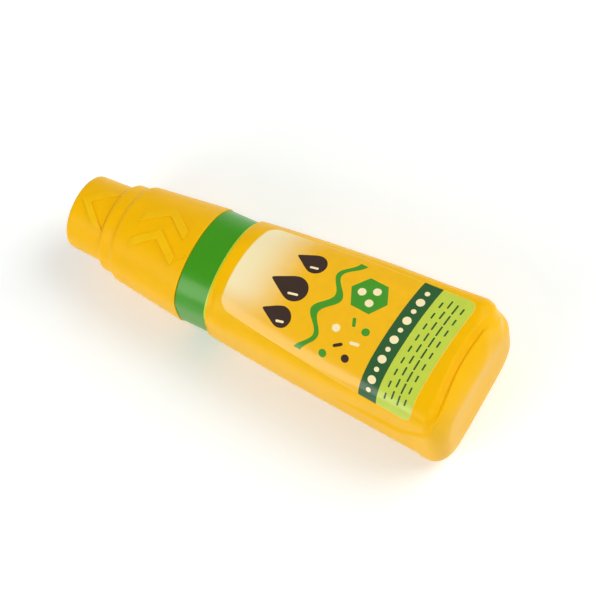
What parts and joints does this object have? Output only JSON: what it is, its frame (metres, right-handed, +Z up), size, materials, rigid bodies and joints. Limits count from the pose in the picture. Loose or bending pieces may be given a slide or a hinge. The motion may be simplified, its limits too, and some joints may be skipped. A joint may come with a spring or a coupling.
{
  "type": "glue bottle",
  "caption": "Small squeeze bottle of craft glue with a front label, a collar, a twist cap over a broad spreader and a pull-off tip cap over a fine nozzle.",
  "frame": {"origin": "middle of the bounding box on the surface that the bottle lies on, under its back", "axes": "+X along the bottle's axis from the tip to the base, +Y to the far side, +Z up out of the front label"},
  "size_m": [0.1046, 0.0356, 0.0253],
  "materials": {
    "bottle_plastic": "satin blow-moulded polyethylene, warm yellow",
    "cap_plastic": "satin injection-moulded plastic, warm yellow",
    "collar_plastic": "glossy injection-moulded plastic, leaf green",
    "applicator_plastic": "milky natural polyethylene",
    "seal_foam": "matt foam sealing disc",
    "front_label_film": "clear printed film",
    "back_label_film": "printed film",
    "glue": "thick pale liquid"
  },
  "bodies": {
    "bottle_body": {"bottle": "bottle_plastic", "glue_fill": "glue", "front_label": "front_label_film", "back_label": "back_label_film", "collar": "collar_plastic", "neck_seal": "seal_foam", "spreader_tip": "applicator_plastic"},
    "wad": {"cap_wad": "seal_foam"},
    "cap": {"twist_cap": "cap_plastic", "fine_nozzle": "applicator_plastic"},
    "tip": {"tip_cap": "cap_plastic"}
  },
  "joints": [
    {"name": "cap_lift", "type": "slide", "parent": "bottle_body", "child": "wad", "axis": [-1, 0, 0], "range_m": [0, 0.024]},
    {"name": "cap_twist", "type": "hinge", "parent": "wad", "child": "cap", "pos_m": [-0.0186, 0, 0.01265], "axis": [-1, 0, 0], "range_deg": [0, 720]},
    {"name": "tip_pull", "type": "slide", "parent": "cap", "child": "tip", "axis": [-1, 0, 0], "range_m": [0, 0.016]}
  ],
  "couplings": [
    {"joint": "cap_lift", "follows": "cap_twist", "m_per_rad": 0.0019099}
  ]
}
